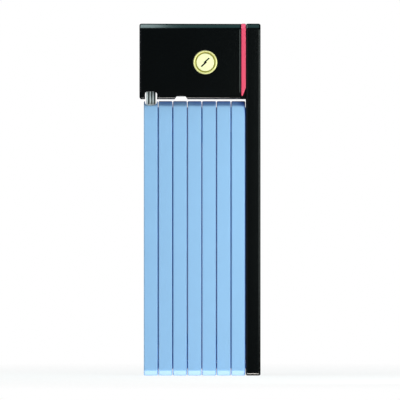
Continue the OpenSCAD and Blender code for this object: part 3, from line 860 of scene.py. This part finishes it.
class FOLDLOCK_OT_cylinder(bpy.types.Operator):
    """Makes the brass shell and the plug with its keyway"""
    bl_idname = "foldlock.cylinder"
    bl_label = "Key cylinder"

    def execute(self, context):
        cx, cz = CYLINDER.x, CYLINDER.z
        face, back = SHELL_LO.y, SHELL_HI.y
        outer = SHELL_HI.x - cx
        plug_r = 4.75 * MM
        groove_r, groove = plug_r + 0.7 * MM, 0.55 * MM
        edge = 0.22 * MM
        profile = [
            (plug_r + 0.05 * MM, back), (plug_r + 0.05 * MM, face + groove + 0.1 * MM),
            (plug_r + 0.15 * MM, face + groove), (groove_r - 0.15 * MM, face + groove),
            (groove_r, face + groove - 0.15 * MM), (groove_r, face + edge),
            (groove_r + 0.3 * edge, face + 0.3 * edge),
            (groove_r + edge, face), (outer - edge, face), (outer - 0.3 * edge, face + 0.3 * edge),
            (outer, face + edge), (outer, back),
        ]
        shell = turned(profile, cx, cz)
        # painted shade: the recessed ring round the plug is painted darker brass
        mark_shaded_grooves(
            shell, lambda c: c.y > face + 0.9 * edge
            and math.hypot(c.x - cx, c.z - cz) < groove_r + 0.1 * MM)
        piece("cylinder_collar", shell, finish("brass"), "lock_body", ["cylinder_shell"], 40, False)

        front, tail = PLUG_LO.y, PLUG_HI.y
        profile = [
            (0, front), (plug_r - 0.35 * MM, front), (plug_r - 0.12 * MM, front + 0.1 * MM),
            (plug_r, front + 0.35 * MM),
            (plug_r, back), (3.5 * MM, back), (3.5 * MM, tail), (0, tail),
        ]
        plug = turned(profile, cx, cz)
        keyway_l, keyway_w, keyway_angle = 6.2 * MM, 1.25 * MM, 42
        arm_w, overlap = 0.72 * MM, 1.2 * MM
        arm_l = (keyway_l + overlap) / 2
        turn = math.radians(keyway_angle)
        cutters = []
        for side in (-1, 1):
            along, across = side * (keyway_l - arm_l) / 2, side * (keyway_w - arm_w) / 2
            x = cx + along * math.cos(turn) - across * math.sin(turn)
            z = cz + along * math.sin(turn) + across * math.cos(turn)
            outline = slot_outline(arm_l, arm_w, x, z, keyway_angle)
            cutters.append(prism(outline, front - MM, front + 8 * MM, "Y"))
        plug = combine(plug, cutters)
        # painted shade: the keyway and the plug behind its front face are painted near black
        mark_shaded_grooves(plug, lambda c: c.y > front + 0.36 * MM)
        soften(plug, 0.06 * MM, 2, 60)
        piece("key_plug", plug, finish("brass_face"), "plug", ["cylinder_plug"], 35, False)
        return {"FINISHED"}


# ---- Inner parts ----

INNER = {
    "lock_case": "case_steel", "case_back_plate": "case_steel",
    "end_bar": "bar_steel", "end_bar_pins": "bar_steel",
    "cylinder_set_screw": "screw_steel", "detainer_discs": "disc_brass", "sidebar": "bar_steel",
    "plug_circlip": "washer_steel", "drive_cam": "washer_steel", "locking_bolt": "tongue_steel",
    **{f"link_{k}_bar": "bar_steel" for k in LINKS if k != LAST},
}


class FOLDLOCK_OT_inner(bpy.types.Operator):
    """Gives the pieces inside the lock their finishes"""
    bl_idname = "foldlock.inner"
    bl_label = "Inner parts"

    def execute(self, context):
        for name, material in INNER.items():
            node = frame["nodes"][name]
            for place in node.material_slots:
                place.material = finish(material)
        return {"FINISHED"}


# ---- Stage ----

def area_light(name, place, target, size, energy, colour=(1, 1, 1)):
    """A square lamp that points at the target and isn't seen itself."""
    light = bpy.data.lights.new(name, "AREA")
    light.energy, light.color, light.size = energy, colour, size
    obj = bpy.data.objects.new(name, light)
    bpy.context.scene.collection.objects.link(obj)
    obj.location = place
    obj.rotation_euler = (Vector(target) - Vector(place)).to_track_quat("-Z", "Y").to_euler()
    obj.visible_camera = False


def floor_material():
    """White floor that thins out to clear away from the lock for the camera, and keeps a faint shadow."""
    material, tree, shader, add = node_tree("floor_white")
    shader.inputs["Base Color"].default_value = (0.9, 0.9, 0.9, 1)
    shader.inputs["Roughness"].default_value = 0.9
    shader.inputs["Specular IOR Level"].default_value = 0.1
    clear = add("ShaderNodeBsdfTransparent")
    place = add("ShaderNodeTexCoord").outputs["Object"]
    away = add("ShaderNodeVectorMath", {0: place}, operation="LENGTH").outputs["Value"]
    thin = add("ShaderNodeMapRange", {
        "Value": away, "From Min": 0.04, "From Max": 0.45, "To Min": 0.84, "To Max": 1.0}).outputs[0]
    path = add("ShaderNodeLightPath")
    share = add(
        "ShaderNodeMath", {0: path.outputs["Is Camera Ray"], 1: thin}, operation="MULTIPLY").outputs[0]
    blend = add("ShaderNodeMixShader", {0: share, 1: shader.outputs[0], 2: clear.outputs[0]})
    tree.links.new(blend.outputs[0], tree.nodes["Material Output"].inputs["Surface"])
    return material


def white_world():
    """Soft grey surroundings, darker in reflections, that the camera sees as white."""
    world = bpy.data.worlds.new("studio")
    bpy.context.scene.world = world
    world.use_nodes = True
    tree = world.node_tree
    path = tree.nodes.new("ShaderNodeLightPath")
    soft = tree.nodes.new("ShaderNodeMapRange")
    around, mirrored = 0.25, 0.05
    soft.inputs["To Min"].default_value = around
    soft.inputs["To Max"].default_value = mirrored
    tree.links.new(path.outputs["Is Glossy Ray"], soft.inputs["Value"])
    strength = tree.nodes.new("ShaderNodeMapRange")
    strength.inputs["To Max"].default_value = 1.0
    tree.links.new(path.outputs["Is Camera Ray"], strength.inputs["Value"])
    tree.links.new(soft.outputs[0], strength.inputs["To Min"])
    background = tree.nodes["Background"]
    background.inputs["Color"].default_value = (1, 1, 1, 1)
    tree.links.new(strength.outputs[0], background.inputs["Strength"])


class FOLDLOCK_OT_stage(bpy.types.Operator):
    """Makes the floor, the lights and the camera"""
    bl_idname = "foldlock.stage"
    bl_label = "Stage"

    def execute(self, context):
        settings = context.scene.foldlock_stage
        bm = bmesh.new()
        bmesh.ops.create_grid(bm, x_segments=1, y_segments=1, size=4)
        floor = as_object("floor", bm)
        floor.data.materials.append(floor_material())
        floor.visible_shadow = floor.visible_glossy = False
        white_world()
        middle = (0, 0, settings.height)
        area_light("key_low", (0.4, -0.85, -0.35), middle, 0.35, 1.9)
        area_light("key_right", (0.16, -0.24, 0.12), (0, 0, 0.1), 0.2, 0.56, (0.86, 1, 0.96))
        area_light("fill_left", (-0.8, -0.9, 0.1), middle, 0.6, 1.3, (0.88, 0.86, 1))
        area_light("under", (-0.006, -0.07, -0.4), (-0.006, -0.012, 0), 0.12, 1.5, (1, 0.95, 0.9))
        area_light("overhead", (0.02, -0.2, 1.05), (0, 0, BODY_HI.z), 0.7, 2.2, (0.4, 1, 1))
        area_light("top_left", (-0.075, -0.04, 0.3), (-0.075, -0.015, BODY_HI.z), 0.108, 0.3, (0.8, 1, 1))

        camera = bpy.data.cameras.new("camera")
        camera.sensor_width = 36
        camera.lens = camera.sensor_width * settings.distance / settings.view_w
        camera.clip_end = 20
        obj = bpy.data.objects.new("camera", camera)
        context.scene.collection.objects.link(obj)
        obj.location = (0, -BODY_HALF - settings.distance, settings.height)
        obj.rotation_euler = (math.pi / 2, 0, 0)
        context.scene.camera = obj
        context.scene.view_settings.view_transform = "Standard"
        return {"FINISHED"}


# ---- Panel and registration ----

STEPS = (
    FOLDLOCK_OT_links, FOLDLOCK_OT_pivots, FOLDLOCK_OT_tongue, FOLDLOCK_OT_covers, FOLDLOCK_OT_screws,
    FOLDLOCK_OT_accent, FOLDLOCK_OT_end_bar, FOLDLOCK_OT_cylinder, FOLDLOCK_OT_inner, FOLDLOCK_OT_stage,
)


class FOLDLOCK_PT_panel(bpy.types.Panel):
    """Lists the settings and the steps"""
    bl_idname = "FOLDLOCK_PT_panel"
    bl_label = "Folding lock"
    bl_space_type = "VIEW_3D"
    bl_region_type = "UI"
    bl_category = "Folding Lock"

    def draw(self, context):
        for name, group in SETTINGS.items():
            column = self.layout.column()
            for key in group.__annotations__:
                column.prop(getattr(context.scene, name), key)
        for step in STEPS:
            self.layout.operator(step.bl_idname)


CLASSES = (*SETTINGS.values(), *STEPS, FOLDLOCK_PT_panel)


def register():
    """Adds the settings, the steps and the panel."""
    for cls in CLASSES:
        bpy.utils.register_class(cls)
    for name, group in SETTINGS.items():
        setattr(bpy.types.Scene, name, bpy.props.PointerProperty(type=group))


def unregister():
    """Takes them away again."""
    for name in SETTINGS:
        delattr(bpy.types.Scene, name)
    for cls in reversed(CLASSES):
        bpy.utils.unregister_class(cls)


def main():
    """Runs every step in order."""
    register()
    for step in STEPS:
        group, name = step.bl_idname.split(".")
        getattr(getattr(bpy.ops, group), name)()


if __name__ == "__main__":
    main()
